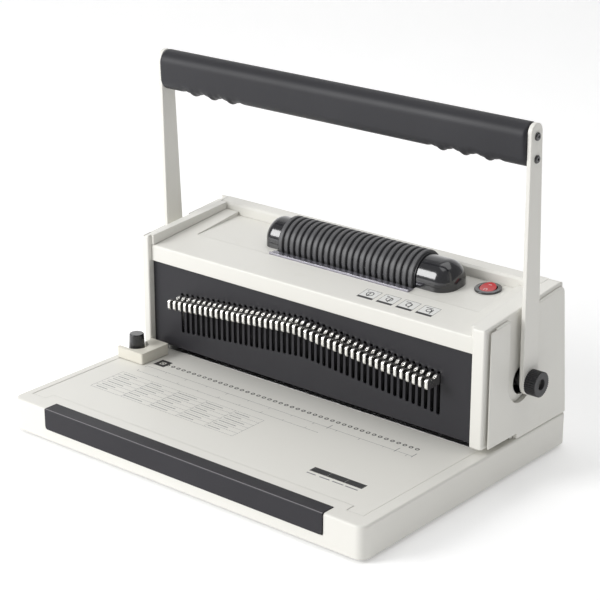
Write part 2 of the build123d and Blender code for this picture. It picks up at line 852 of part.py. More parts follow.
def roller_core():
    pitch = 2 * ring_half_span / ring_count
    first = roller_x - ring_half_span
    last = roller_x + ring_half_span
    core = rod_x(roller_y, roller_z, core_radius, first - 0.3, last + 0.3)
    for i in range(ring_count):
        x = roller_x - ring_half_span + (i + 0.5) * pitch
        half = ring_width_share * pitch / 2
        groove = rod_x(roller_y, roller_z, core_radius + 1, x - half, x + half)
        core -= groove - rod_x(roller_y, roller_z, core_radius - 1.5, x - half - 1, x + half + 1)
    return core - rod_x(roller_y, roller_z, roller_shaft_radius + press_gap, -100, 100)


def rubber_rings():
    pitch = 2 * ring_half_span / ring_count
    half = ring_width_share * pitch / 2
    rings = []
    for i in range(ring_count):
        x = roller_x - ring_half_span + (i + 0.5) * pitch
        ring = rod_x(roller_y, roller_z, ring_radius, x - half, x + half)
        ring = fillet(ring.edges(), 0.9)
        rings.append(ring - rod_x(roller_y, roller_z, core_radius - 1.5 + press_gap, x - 5, x + 5))
    return rings


def roller_shaft():
    x0 = left_ear_x - ear_thickness - 0.5
    return rod_x(roller_y, roller_z, roller_shaft_radius, x0, pulley_x + pulley_width / 2 + 1)


def flanged_pulley(y, z, radius, bore):
    """Belt pulley with a thin flange at each end."""
    x0 = pulley_x - pulley_width / 2
    x1 = pulley_x + pulley_width / 2
    wheel = rod_x(y, z, radius, x0, x1)
    wheel += rod_x(y, z, radius + 2.4, x0, x0 + 0.8)
    wheel += rod_x(y, z, radius + 2.4, x1 - 0.8, x1)
    return wheel - rod_x(y, z, bore + press_gap, x0 - 1, x1 + 1)


def belt_loop(extra):
    """Outline around both pulleys, grown by extra, as a solid of the belt's width."""
    plane = Plane(origin=(pulley_x - belt_width / 2, 0, 0), x_dir=(0, 1, 0), z_dir=(1, 0, 0))
    big = (Pos(roller_y, roller_z) * Circle(roller_pulley_radius + extra)).edge()
    small = (Pos(motor_y, motor_z) * Circle(motor_pulley_radius + extra)).edge()
    return extrude(plane * make_hull([big, small]), amount=belt_width, dir=(1, 0, 0))


def drive_belt():
    return belt_loop(belt_gap + belt_thickness) - belt_loop(belt_gap)


def roller_cradle():
    plate = block(-frame_inner, frame_inner, roller_y - 20, roller_y + 24, 112, 114)
    plate -= block(pulley_x - 7, pulley_x + 7, roller_y - 19, roller_y + 23, 111, 115)
    cradle = plate
    for x0 in (left_ear_x - ear_thickness, right_ear_x):
        cradle += block(x0, x0 + ear_thickness, roller_y - 10, roller_y + 10, 114, roller_z + 7)
    return cradle - rod_x(roller_y, roller_z, roller_shaft_radius + running_gap, -95, 90)


def cap_solid(radius, x0, x1, nose):
    """Half-round housing on upright sides, with a rounded far end."""
    low = 125.0
    body = block(x0, x1, roller_y - radius, roller_y + radius, low, roller_z)
    body += rod_x(roller_y, roller_z, radius, x0, x1)
    far = Axis.X if nose > 0 else -Axis.X
    end = body.faces().sort_by(far)[-1]
    edges = [e for e in end.edges() if e.center().Z > low + 0.1]
    return fillet(edges, abs(nose))


def above_floor(shape):
    """Trim a housing so that it stands on the recessed floor."""
    low = [(150, recess_z(150) + 0.05), (270, recess_z(270) + 0.05), (270, 100), (150, 100)]
    return shape - across(low, -200, 200)


def left_end_cap():
    near = roller_x - ring_half_span - 1.0
    outer = cap_solid(cap_radius, -left_cap_end, near, -9.0)
    inner = cap_solid(cap_radius - cap_wall, -left_cap_end + cap_wall, near - cap_wall, -7.0)
    cap = above_floor(outer - inner)
    return cap - rod_x(roller_y, roller_z, roller_shaft_radius + 0.5, near - 5, near + 5)


def right_end_cap():
    near = roller_x + ring_half_span + 1.0
    outer = cap_solid(cap_radius, near, right_cap_end, 15.0)
    inner = cap_solid(cap_radius - cap_wall, near + cap_wall, right_cap_end - cap_wall, 13.0)
    cap = above_floor(outer - inner)
    return cap - rod_x(roller_y, roller_z, roller_shaft_radius + 0.5, near - 5, near + 5)


def coil_guide():
    y0 = coil_guide_front_y
    y1 = coil_guide_back_y
    t = coil_guide_thickness
    z0 = recess_z(y0) + 0.1
    z1 = recess_z(y1) + 0.1
    outline = [(y0, z0), (y1, z1), (y1, z1 + t), (y0 + 1.2, z0 + t), (y0 + 1.2, z0 + 2.2), (y0, z0 + 2.2)]
    return across(outline, coil_guide_left, coil_guide_right)


def drive_motor():
    x0 = pulley_x + 11
    can = rod_x(motor_y, motor_z, motor_radius, x0, x0 + 38)
    can = fillet(can.edges().sort_by(Axis.X)[-1], 2.0)
    return can + rod_x(motor_y, motor_z, 8, x0 + 38, x0 + 40)


def motor_bracket():
    x0 = pulley_x + 8.5
    plate = block(x0, x0 + 2.4, motor_y - 16, motor_y + 16, motor_z - 15, 111.9)
    return plate - rod_x(motor_y, motor_z, 4.0, x0 - 1, x0 + 4)


def motor_pulley():
    return flanged_pulley(motor_y, motor_z, motor_pulley_radius, motor_shaft_radius)


def motor_shaft():
    x0 = pulley_x - pulley_width / 2 - 1
    return rod_x(motor_y, motor_z, motor_shaft_radius, x0, pulley_x + 10.8)


# ---- Switch and inlet ----

floor_tilt = math.degrees(math.atan((recess_z(240) - recess_z(200)) / 40))
switch_place = Pos(switch_x, switch_y, recess_z(switch_y)) * Rot(floor_tilt, 0, 0)


def rocker_bezel():
    flange = Pos(0, 0, 0.85) * Cylinder(switch_flange_radius, 1.5)
    flange = fillet(flange.edges().group_by(Axis.Z)[-1], 0.7)
    body = Pos(0, 0, -6.9) * Cylinder(switch_body_radius, 14)
    window = Pos(0, 0, -1) * Cylinder(rocker_radius + rocker_gap, 12)
    return switch_place * (flange + body - window)


def rocker():
    """Round rocker with a slightly hollow top, stored with its back half raised."""
    button = Pos(0, 0, 1) * Cylinder(rocker_radius, 6) + Pos(0, 0, -3) * Cylinder(rocker_radius - 2, 4)
    dish = rod_x(0, 36, 34, -rocker_radius - 1, rocker_radius + 1)
    button -= dish
    rim = button.edges().filter_by(GeomType.CIRCLE, reverse=True).group_by(Axis.Z)[-1]
    return switch_place * Rot(switch_tilt, 0, 0) * fillet(rim, 0.5)


def power_inlet():
    back = rear_y(inlet_z - 12) + 0.1
    flange = block(inlet_x - 15.5, inlet_x + 15.5, back, base_depth + inlet_proud, inlet_z - 12,
                   inlet_z + 12)
    flange = fillet(flange.edges().filter_by(Axis.Y), 2.5)
    body = block(inlet_x - inlet_width / 2, inlet_x + inlet_width / 2, back - 22, back,
                 inlet_z - inlet_height / 2, inlet_z + inlet_height / 2)
    well = block(inlet_x - 12, inlet_x + 12, back - 16, base_depth + 5, inlet_z - 8, inlet_z + 8)
    inlet = flange + body - well
    for dx, dz in ((-7, -2), (0, 2), (7, -2)):
        inlet += block(inlet_x + dx - 1, inlet_x + dx + 1, back - 17, back - 2,
                       inlet_z + dz - 2, inlet_z + dz + 2)
    return inlet


def control_board():
    y1 = rear_y(110) - 14
    board = block(-80, -10, y1 - 1.6, y1, 50, 100)
    board += block(-72, -48, y1 - 19, y1 - 1.6, 58, 80)
    for i in range(2):
        board += rod_y(-34 + 13 * i, 66, 5, y1 - 15, y1 - 1.6)
    for x in (-76, -14):
        for z in (54, 96):
            board += rod_y(x, z, 2.5, y1, rear_y(z) - rear_wall - 0.3)
    return board


def casing_screws():
    screws = []
    for x in screw_columns:
        for z in screw_rows:
            y = rear_y(z) + 0.3
            head = rod_y(x, z, 3.2, y, y + 1.0)
            screws.append(head + rod_y(x, z, 1.5, y - 9, y) - rod_y(x, z, 1.4, y + 0.4, y + 2))
    return screws


# ---- Margin guide ----


def margin_block():
    low = deck_z + 0.3
    x1 = guide_x
    x0 = guide_x - guide_width
    body = block(x0, x1, guide_front_y, guide_back_y, low, low + guide_height)
    body = fillet(body.edges().filter_by(Axis.Z), 1.5)
    pocket = rod_z(margin_knob_x, margin_knob_y, 10.5, low + guide_floor, low + 20)
    body -= pocket
    body -= block(x0 - 1, margin_knob_x, margin_knob_y - 10.5, guide_back_y + 1, low + guide_floor, low + 20)
    body -= block(x0 - 1, margin_knob_x, margin_knob_y, guide_back_y + 1, low + guide_floor, low + 20)
    return body - rod_z(margin_knob_x, margin_knob_y, margin_stud_radius + running_gap, low - 1, low + 20)


def margin_nut():
    top = deck_z - deck_thickness - 0.3
    nut = rod_z(margin_knob_x, margin_knob_y, 5.5, top - 4, top)
    return nut - rod_z(margin_knob_x, margin_knob_y, margin_stud_radius + running_gap, top - 6, top + 2)


def margin_knob():
    low = deck_z + 0.3 + guide_floor + 0.15
    body = Pos(0, 0, margin_knob_height / 2) * Cone(margin_knob_bottom_radius, margin_knob_top_radius,
                                                    margin_knob_height)
    body = fillet(body.edges().group_by(Axis.Z)[-1], 1.0)
    for i in range(margin_knob_flutes):
        angle = 2 * math.pi * i / margin_knob_flutes
        reach = margin_knob_bottom_radius + 0.35
        body -= Pos(reach * math.cos(angle), reach * math.sin(angle), margin_knob_height / 2 - 1) * Cylinder(
            0.9, margin_knob_height)
    knob = Pos(margin_knob_x, margin_knob_y, low) * body
    stud_low = deck_z - deck_thickness - 6
    return knob + rod_z(margin_knob_x, margin_knob_y, margin_stud_radius, stud_low, low + 1)


# ---- Write the nodes ----

save("base_casing", base_casing())
save("bottom_plate", bottom_plate())
save("rubber_feet", *rubber_feet())
save("tray_plate", tray_plate())
save("drawer_runners", *drawer_runners())
save("drawer_front", drawer_front())
save("drawer_box", *drawer_box())
for side, shape in zip(("right", "left"), both_sides(frame_plate())):
    save(f"frame_plate_{side}", shape)
save("die_plate", die_plate(), paper_stop())
save("punch_guide", punch_guide())
save("guide_rods", *guide_rods())
save("tie_bar", tie_bar())
save("return_springs", *return_springs())
save("shaft_bushes", *shaft_bushes())
save("front_panel", front_panel())
save("end_cap_right", end_cap(cap_outer, end_cap_edge))
save("end_cap_left", mirror(end_cap(left_cap_outer, left_cap_edge), about=Plane.YZ))
cover = side_cover()
save("side_cover_right", cover)
save("side_cover_left", Pos(left_trim, 0, 0) * mirror(cover, about=Plane.YZ))
save("top_cover", top_cover())
save("rear_cover", rear_cover())
for side, shape in zip(("right", "left"), both_sides(handle_arm())):
    save(f"handle_arm_{side}", shape)
save("handle_grip", handle_grip())
save("grip_screws", *grip_screws())
save("main_shaft", main_shaft())
for side, shape in zip(("right", "left"), both_sides(pinion())):
    save(f"pinion_{side}", shape)
for side, shape in zip(("right", "left"), both_sides(rack())):
    save(f"rack_{side}", shape)
for side, shape in zip(("right", "left"), both_sides(pivot_knob())):
    save(f"pivot_knob_{side}", shape)
save("punch_beam", punch_beam())
save("punch_pins", *punch_pins())
single_keys = (0, 1, hole_count - 2, hole_count - 1)
for i in single_keys:
    save(f"key_tab_{i + 1:02d}", key(pin_x[i]))
save("key_tabs_middle", *[key(x) for i, x in enumerate(pin_x) if i not in single_keys])
save("roller_core", roller_core())
save("rubber_rings", *rubber_rings())
save("roller_shaft", roller_shaft())
save("roller_pulley", flanged_pulley(roller_y, roller_z, roller_pulley_radius, roller_shaft_radius))
save("drive_belt", drive_belt())
save("roller_cradle", roller_cradle())
save("roller_cap_left", left_end_cap())
save("roller_cap_right", right_end_cap())
save("coil_guide", coil_guide())
save("drive_motor", drive_motor())
save("motor_bracket", motor_bracket())
save("motor_pulley", motor_pulley(), motor_shaft())
save("rocker_bezel", rocker_bezel())
save("rocker", rocker())
save("power_inlet", power_inlet())
save("control_board", control_board())
save("casing_screws", *casing_screws())
save("margin_block", margin_block())
save("margin_nut", margin_nut())
save("margin_knob", margin_knob())
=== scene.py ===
import math
import bmesh
import bpy
from mathutils import Matrix, Vector


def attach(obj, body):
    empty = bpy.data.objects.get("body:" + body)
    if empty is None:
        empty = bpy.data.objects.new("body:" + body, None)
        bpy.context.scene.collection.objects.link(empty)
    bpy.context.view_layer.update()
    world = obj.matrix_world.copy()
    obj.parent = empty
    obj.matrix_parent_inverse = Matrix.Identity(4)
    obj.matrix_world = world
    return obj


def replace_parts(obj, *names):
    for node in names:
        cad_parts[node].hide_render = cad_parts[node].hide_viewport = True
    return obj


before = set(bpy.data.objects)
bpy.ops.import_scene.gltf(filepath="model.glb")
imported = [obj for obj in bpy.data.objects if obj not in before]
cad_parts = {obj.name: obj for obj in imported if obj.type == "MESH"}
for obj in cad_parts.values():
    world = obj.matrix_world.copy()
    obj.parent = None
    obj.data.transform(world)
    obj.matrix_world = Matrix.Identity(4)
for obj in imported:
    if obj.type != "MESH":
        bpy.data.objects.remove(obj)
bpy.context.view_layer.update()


# ---- The camera ----
# It stands to the right of the machine and a little above it, at the eye of someone walking up to
# the desk, with a long lens so that the deck's edges stay close to parallel.

camera_turn = math.radians(39.77)
camera_dip = math.radians(20.58)
camera_data = bpy.data.cameras.new("camera")
camera_data.lens = 113.9
camera_data.sensor_width = 36.0
camera_data.clip_end = 20.0
camera_data.shift_x = -0.00277
camera_data.shift_y = 0.0009
camera = bpy.data.objects.new("camera", camera_data)
camera.location = (0.954, -1.1238, 0.6775)
camera.rotation_euler = (math.radians(90) - camera_dip, 0, camera_turn)
bpy.context.scene.collection.objects.link(camera)
bpy.context.scene.camera = camera
bpy.context.scene.view_settings.view_transform = "Standard"


# ---- The floor and the studio light ----
# A seamless sheet of white paper, lit a little from behind and swept up behind the machine, under
# three soft boxes and a pale sky. The key light hangs in front and to the left, so that the right
# side of the machine is in shade.

class Shade:
    """A value or colour inside a material. Arithmetic on it adds Math nodes."""

    def __init__(self, tree, socket):
        self.tree = tree
        self.socket = socket

    def node(self, kind, settings=None, inputs=None, output=0):
        """Add a node, set it up, feed its sockets, and give one of its outputs."""
        made = self.tree.nodes.new("ShaderNode" + kind)
        for name, value in (settings or {}).items():
            setattr(made, name, value)
        for name, value in (inputs or {}).items():
            if isinstance(value, Shade):
                self.tree.links.new(value.socket, made.inputs[name])
            elif isinstance(value, tuple) and len(value) == 3 and made.inputs[name].type == "RGBA":
                made.inputs[name].default_value = (*value, 1.0)
            else:
                made.inputs[name].default_value = value
        return Shade(self.tree, made.outputs[output])

    def math(self, operation, first, second):
        return self.node("Math", {"operation": operation}, {0: first, 1: second})

    def __add__(self, other):
        return self.math("ADD", self, other)

    def __radd__(self, other):
        return self.math("ADD", other, self)

    def __sub__(self, other):
        return self.math("SUBTRACT", self, other)

    def __rsub__(self, other):
        return self.math("SUBTRACT", other, self)

    def __mul__(self, other):
        return self.math("MULTIPLY", self, other)

    def __rmul__(self, other):
        return self.math("MULTIPLY", other, self)

    def noise(self, scale, detail=3.0, stretch=None):
        """Fractal noise over this place, from 0 to 1, drawn out along an axis by stretch."""
        place = self
        if stretch:
            place = self.node("VectorMath", {"operation": "MULTIPLY"}, {0: self, 1: stretch})
        return self.node("TexNoise", {}, {"Vector": place, "Scale": scale, "Detail": detail})

    def step(self, low, high):
        """0 below low, 1 above high and a smooth rise between."""
        settings = {"interpolation_type": "SMOOTHSTEP"}
        return self.node("MapRange", settings, {"Value": self, "From Min": low, "From Max": high})

    def tint(self, first, second):
        """The first colour where this is 0 and the second where it is 1."""
        return self.node("Mix", {"data_type": "RGBA"}, {0: self, 6: first, 7: second}, output=2)

    def add_colour(self, other):
        """This colour with another added to it."""
        settings = {"data_type": "RGBA", "blend_type": "ADD"}
        return self.node("Mix", settings, {0: 1.0, 6: self, 7: other}, output=2)

    def surface(self, inputs, height=None, depth=0.0, edge=0.0):
        """Finish the material: a principled surface, with height as bump and rounded edges."""
        if edge:
            inputs["Normal"] = self.node("Bevel", {"samples": 4}, {"Radius": edge})
        if height is not None:
            bump = {"Height": height, "Distance": depth, "Strength": 1.0}
            if edge:
                bump["Normal"] = inputs["Normal"]
            inputs["Normal"] = self.node("Bump", {}, bump)
        shader = self.node("BsdfPrincipled", {}, inputs)
        out = self.tree.nodes.new("ShaderNodeOutputMaterial")
        self.tree.links.new(shader.socket, out.inputs["Surface"])


def new_material(name):
    """An empty node material and the place on the surface, in metres, to paint it by."""
    material = bpy.data.materials.new(name)
    material.use_nodes = True
    material.node_tree.nodes.clear()
    place = Shade(material.node_tree, None).node("TexCoord", output="Object")
    return material, place


paper, at = new_material("floor_paper")
mottle = at.noise(6.0)
at.surface({"Base Color": mottle.tint((0.96, 0.96, 0.96), (0.98, 0.98, 0.98)), "Roughness": 0.9,
            "Emission Color": mottle.tint((0.98, 0.98, 0.98), (1.0, 1.0, 1.0)), "Emission Strength": 0.20},
           height=at.noise(900.0), depth=0.0001)
floor_mesh = bpy.data.meshes.new("floor")
sweep = [(-4.0, 0.0), (1.6, 0.0), (2.1, 0.07), (2.5, 0.3), (2.75, 0.75), (2.8, 1.4), (2.8, 4.0)]
points = [(x, y, z) for y, z in sweep for x in (-4.0, 4.0)]
faces = [(2 * i, 2 * i + 1, 2 * i + 3, 2 * i + 2) for i in range(len(sweep) - 1)]
floor_mesh.from_pydata(points, [], faces)
for face in floor_mesh.polygons:
    face.use_smooth = True
floor = bpy.data.objects.new("floor", floor_mesh)
floor.data.materials.append(paper)
floor.rotation_euler = (0, 0, camera_turn)
bpy.context.scene.collection.objects.link(floor)

soft_boxes = {
    "key_light": ((-1.5, -2.1, 1.3), (0.0, 0.0, 0.1), 1.4, 60.0),
    "top_light": ((0.1, 0.2, 2.4), (0.0, 0.0, 0.0), 2.2, 20.0),
    "side_light": ((2.3, -0.5, 1.1), (0.0, 0.0, 0.1), 1.2, 1.0),
}
for name, (place, target, size, power) in soft_boxes.items():
    light = bpy.data.lights.new(name, "AREA")
    light.shape = "SQUARE"
    light.size = size
    light.energy = power
    lamp = bpy.data.objects.new(name, light)
    lamp.location = place
    lamp.rotation_euler = (Vector(target) - Vector(place)).to_track_quat("-Z", "Y").to_euler()
    bpy.context.scene.collection.objects.link(lamp)

world = bpy.data.worlds.new("pale_sky")
world.use_nodes = True
world.node_tree.nodes["Background"].inputs["Color"].default_value = (1.0, 1.0, 1.0, 1.0)
world.node_tree.nodes["Background"].inputs["Strength"].default_value = 0.30
bpy.context.scene.world = world


# ---- The base, the side covers and the top ----
# Folded and welded sheet steel, powder coated in a warm white with a fine orange-peel skin. The
# covers are screwed to the frame from behind, with thin dark seams where they meet.

def dress(node, material):
    """Give a CAD node one finish all over."""
    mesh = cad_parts[node].data
    mesh.materials.clear()
    mesh.materials.append(material)


def finish(name, colour, worn, rough, nodes=(), metallic=0.0, clear=0.0, grain=700.0, stretch=None,
           depth=0.00002, edge=0.0, specks=0.25, shine=0.5):
    """A finish with faint clouding, specks, a fine grain and uneven gloss."""
    material, at = new_material(name)
    cloud = at.noise(9.0, 4.0)
    rubbed = at.noise(38.0, 5.0).step(0.62, 0.78)
    dots = at.noise(1500.0, 2.0).step(0.70, 0.78)
    skin = at.noise(grain, 2.0, stretch=stretch)
    worn_share = cloud * 0.4 + dots * specks + rubbed * 0.25
    inputs = {"Base Color": worn_share.tint(colour, worn), "Metallic": metallic, "Specular IOR Level": shine,
              "Roughness": cloud * 0.08 + skin * 0.08 + rubbed * 0.06 + (rough - 0.09)}
    if clear:
        inputs["Coat Weight"] = 1.0 * clear - rubbed * clear * 0.3
        inputs["Coat Roughness"] = 0.06
    at.surface(inputs, height=skin, depth=depth, edge=edge)
    for node in nodes:
        dress(node, material)
    return material


finish("white_powder_coat", (0.80, 0.79, 0.745), (0.745, 0.73, 0.675), 0.42, edge=0.0009,
       nodes=("base_casing", "tray_plate", "side_cover_left", "side_cover_right", "top_cover",
              "rear_cover", "handle_arm_left", "handle_arm_right"))


# ---- The end caps and the margin guide block ----
# Injection-moulded uprights at the two ends of the head, in a glossier warm plastic, which clip
# over the frame plates. The sliding block of the margin guide is cast in the same plastic.

finish("end_cap_plastic", (0.83, 0.82, 0.775), (0.77, 0.755, 0.70), 0.32, grain=420.0,
       depth=0.000008, edge=0.0008, specks=0.1, nodes=("end_cap_left", "end_cap_right"))
finish("guide_block_plastic", (0.80, 0.775, 0.69), (0.72, 0.69, 0.60), 0.38, grain=500.0,
       depth=0.00001, edge=0.0008, specks=0.15, nodes=("margin_block",))


# ---- The front panel and the drawer front ----
# Sheet steel in black textured powder coat: the panel behind the pull-out tabs, with its slots
# punched, and the folded strip that is the front of the chip drawer, with a painted highlight along its
# bend.

finish("black_powder_coat", (0.024, 0.0235, 0.028), (0.038, 0.037, 0.042), 0.46, edge=0.0005,
       grain=1100.0, depth=0.00004, specks=0.5, shine=0.3, nodes=("front_panel",))
strip_coat, at = new_material("drawer_strip_coat")
# painted highlight: a pale line on the rounded bend between the strip's front and top, where the light
# catches it
bend_low, bend_high = 0.03105, 0.0314
bend_front, bend_back = -0.1379, -0.1374
height = at.node("SeparateXYZ", {}, {0: at}, output=2)
depth = at.node("SeparateXYZ", {}, {0: at}, output=1)
bend_highlight = height.step(bend_low, bend_high) * (1.0 - depth.step(bend_front, bend_back))
skin = at.noise(1000.0, 2.0)
cloud = at.noise(12.0, 4.0)
strip_colour = (cloud * 0.5 + skin * 0.2).tint((0.018, 0.017, 0.021), (0.034, 0.033, 0.039))
at.surface({"Base Color": bend_highlight.tint((0.0, 0.0, 0.0), (0.30, 0.29, 0.30)).add_colour(strip_colour),
            "Roughness": 0.40 + skin * 0.12 - cloud * 0.05, "Specular IOR Level": 0.3},
           height=skin, depth=0.00004, edge=0.0005)
dress("drawer_front", strip_coat)


# ---- The moulded black parts ----
# Acrylonitrile plastic, left as it came from the mould: the drawer's box and its runners, the
# toothed pivot knobs, the core of the roller and the belt pulleys.

finish("black_moulded_plastic", (0.030, 0.030, 0.033), (0.050, 0.050, 0.055), 0.42,
       grain=600.0, depth=0.00003, edge=0.0003,
       nodes=("drawer_box", "drawer_runners", "pivot_knob_left", "pivot_knob_right",
              "roller_core", "roller_pulley", "motor_pulley"))


# ---- The glossy black parts ----
# Polished mouldings with a hard clear skin: the two housings at the ends of the roller, the
# bezel of the switch, the fluted margin knob, the power inlet and the caps of the grip's screws.

finish("gloss_black_plastic", (0.016, 0.016, 0.019), (0.024, 0.024, 0.027), 0.20, clear=0.8,
       grain=90.0, depth=0.00001, edge=0.0004, specks=0.1,
       nodes=("roller_cap_left", "roller_cap_right", "rocker_bezel", "margin_knob",
              "power_inlet", "grip_screws"))


# ---- The rubber parts ----
# The roller's rings are soft grey rubber with a ground, dusty face. The feet and the toothed belt
# are harder black rubber.

finish("ring_rubber", (0.085, 0.085, 0.090), (0.17, 0.17, 0.17), 0.50, grain=1500.0,
       depth=0.00005, specks=0.6, nodes=("rubber_rings",))
finish("black_rubber", (0.020, 0.020, 0.021), (0.045, 0.044, 0.042), 0.75, grain=1300.0,
       depth=0.00006, specks=0.5, nodes=("rubber_feet", "drive_belt"))


# ---- The plated steel parts ----
# Zinc-plated mild steel, sheared and bent, with rolling marks along the machine and a dull bloom:
# the bottom plate, the frame plates, the shafts, the cradle, the bracket and the screws.

finish("zinc_plated_steel", (0.60, 0.60, 0.58), (0.45, 0.45, 0.44), 0.34, metallic=1.0,
       grain=900.0, stretch=(0.03, 1.0, 1.0), depth=0.00002, edge=0.0004,
       nodes=("bottom_plate", "frame_plate_left", "frame_plate_right", "main_shaft", "roller_shaft",
              "roller_cradle", "motor_bracket", "casing_screws", "margin_nut"))


# ---- The coil rest ----
# A narrow strip of anodised aluminium in front of the roller, bent to a lip along its front edge,
# where the coil lies while it is wound in.

finish("anodised_coil_rest", (0.36, 0.35, 0.40), (0.52, 0.51, 0.55), 0.26, metallic=0.85, grain=1100.0,
       stretch=(0.03, 1.0, 1.0), depth=0.00002, edge=0.0003, nodes=("coil_guide",))


# ---- The ground steel parts ----
# Hardened tool steel and gear steel, ground along their length and lightly oiled: the die plate,
# the racks and pinions and the two return springs.

finish("ground_tool_steel", (0.42, 0.42, 0.43), (0.28, 0.27, 0.26), 0.30, metallic=1.0,
       grain=1200.0, stretch=(1.0, 0.04, 1.0), depth=0.00002, edge=0.0003,
       nodes=("die_plate", "return_springs", "pinion_left", "pinion_right",
              "rack_left", "rack_right"))


# ---- The punch parts, dark as painted shade ----
# The punch's bars and pins are hardened steel, coloured near black as painted shade so that the
# slots in the panel in front of them read dark: a dull skin with a few dry specks.

finish("punch_steel_painted_shade", (0.016, 0.016, 0.018), (0.040, 0.038, 0.036), 0.50, metallic=0.6, grain=1000.0,
       depth=0.00003, specks=0.6, nodes=("punch_beam", "punch_guide", "punch_pins", "tie_bar"))


# ---- The guide rods ----
# Two turned steel rods that the beam slides on, plated in bright nickel. The pull-out tabs take
# the same plating.

nickel = finish("bright_nickel", (0.86, 0.85, 0.82), (0.70, 0.69, 0.66), 0.17, metallic=1.0, grain=1600.0,
                stretch=(1.0, 1.0, 0.08), depth=0.000012, edge=0.0004, specks=0.1, nodes=("guide_rods",))


# ---- The motor, the bushes and the circuit board ----
# A drawn steel can round a small gear motor, sintered bronze bushes soaked in oil, and a green
# glass-fibre board with copper tracks under its lacquer.

finish("motor_can_steel", (0.50, 0.50, 0.49), (0.36, 0.36, 0.36), 0.36, metallic=1.0, grain=800.0,
       stretch=(0.05, 1.0, 1.0), depth=0.00002, nodes=("drive_motor",))
finish("sintered_bronze", (0.55, 0.36, 0.17), (0.30, 0.19, 0.09), 0.45, metallic=1.0, grain=2400.0,
       depth=0.00006, specks=0.7, nodes=("shaft_bushes",))
board_green, at = new_material("board_lacquer")
weave = at.noise(2200.0, 1.0)
tracks = at.noise(420.0, 0.0, stretch=(1.0, 1.0, 0.15)).step(0.52, 0.55)
at.surface({"Base Color": tracks.tint((0.015, 0.10, 0.035), (0.04, 0.20, 0.07)),
            "Roughness": 0.28 + weave * 0.15}, height=tracks, depth=0.00004)
dress("control_board", board_green)


# ---- The switch's button and its two marks ----
# A red rocker with a hollow top, moulded in glossy polycarbonate. A ring is printed on its front
# half and a stroke on its back half, in pale ink.

finish("red_polycarbonate", (0.50, 0.022, 0.028), (0.62, 0.06, 0.06), 0.18, clear=0.6, grain=200.0,
       depth=0.000008, edge=0.0003, specks=0.1, nodes=("rocker",))


base_middle_y = 137.5


def new_piece(name, mesh_data, material, body, smooth=False):
    """An object made of a bmesh, in one material, that rides on a body."""
    mesh = bpy.data.meshes.new(name)
    bmesh.ops.recalc_face_normals(mesh_data, faces=mesh_data.faces)
    mesh_data.to_mesh(mesh)
    mesh_data.free()
    mesh.materials.append(material)
    for face in mesh.polygons:
        face.use_smooth = smooth
    piece = bpy.data.objects.new(name, mesh)
    bpy.context.scene.collection.objects.link(piece)
    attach(piece, body)
    return piece


def bar(mesh_data, x0, x1, y0, y1, z0, z1):
    """Add a flat bar between two corners, in millimetres."""
    made = bmesh.ops.create_cube(mesh_data, size=1.0)["verts"]
    for vert in made:
        vert.co = Vector(((x0 + x1) / 2 + vert.co.x * (x1 - x0), (y0 + y1) / 2 + vert.co.y * (y1 - y0),
                          (z0 + z1) / 2 + vert.co.z * (z1 - z0))) / 1000


def ring(mesh_data, x, y, outer, inner, z0, z1, sides=20):
    """Add a flat ring round an upright axis, in millimetres."""
    loops = []
    for radius, z in ((outer, z0), (outer, z1), (inner, z1), (inner, z0)):
        angles = [2 * math.pi * i / sides for i in range(sides)]
        loops.append([mesh_data.verts.new(((x + radius * math.cos(a)) / 1000,
                                           (y + radius * math.sin(a)) / 1000, z / 1000)) for a in angles])
    for loop, other in zip(loops, loops[1:] + loops[:1]):
        for i in range(sides):
            j = (i + 1) % sides
            mesh_data.faces.new((loop[i], loop[j], other[j], other[i]))


def on_slope(piece, x, y, z, tilt):
    """Set a piece drawn flat round its origin on a face that rises to the back by tilt degrees."""
    piece.matrix_world = (Matrix.Translation((x / 1000, (y - base_middle_y) / 1000, z / 1000))
                          @ Matrix.Rotation(math.radians(tilt), 4, "X"))


pale_ink = finish("pale_switch_ink", (0.75, 0.55, 0.54), (0.62, 0.40, 0.40), 0.35, grain=900.0)
marks = bmesh.new()
ring(marks, 0, -3.7, 1.7, 1.1, 2.18, 2.34)
bar(marks, -1.6, 1.6, 3.4, 4.0, 2.12, 2.30)
rocker_marks = new_piece("rocker_marks", marks, pale_ink, "rocker_body")
rocker_top = (133.4, 240.0, 136.4)
rocker_slope = 15.64
on_slope(rocker_marks, *rocker_top, rocker_slope)


# ---- The grip ----
# A long glass-filled nylon moulding clamped between the arms by two screws at each end. Its lower
# edge has three finger ridges near each end with scooped hollows between, and its skin is grained.

grip_material, at = new_material("grip_nylon")
leather = at.noise(1300.0, 3.0)
hand_shine = at.noise(14.0, 4.0)
grip_colour = (leather * 0.5 + hand_shine * 0.5).tint((0.018, 0.018, 0.021), (0.034, 0.034, 0.039))
at.surface({"Base Color": grip_colour, "Roughness": 0.50 - hand_shine * 0.14 + leather * 0.1,
            "Specular IOR Level": 0.3}, height=leather, depth=0.00005)
grip_half = 192.2
grip_radius = 11.0
grip_straight = 6.75
grip_rounding = 2.4
grip_sides = 48
ridge_half, hollow_end = 4.6, 15.4
ridge_rise, hollow_drop = 2.0, 0.9
ridges = (-157.0, -135.5, -114.0, 110.0, 132.0, 155.0)
stations = [-grip_half, -grip_half + 0.5, -grip_half + 1.4]
stations += [-grip_half + 2.5 + i * (2 * grip_half - 5) / 380 for i in range(381)]
stations += [grip_half - 1.4, grip_half - 0.5, grip_half]


def ridge_height(x):
    """How far the lower edge stands out at x, in millimetres."""
    height = 0.0
    for centre in ridges:
        away = abs(x - centre)
        if away < ridge_half:
            height += ridge_rise * (0.5 + 0.5 * math.cos(math.pi * away / ridge_half))
        elif away < hollow_end:
            across = (away - ridge_half) / (hollow_end - ridge_half)
            height -= hollow_drop * (0.5 - 0.5 * math.cos(2 * math.pi * across))
    return height


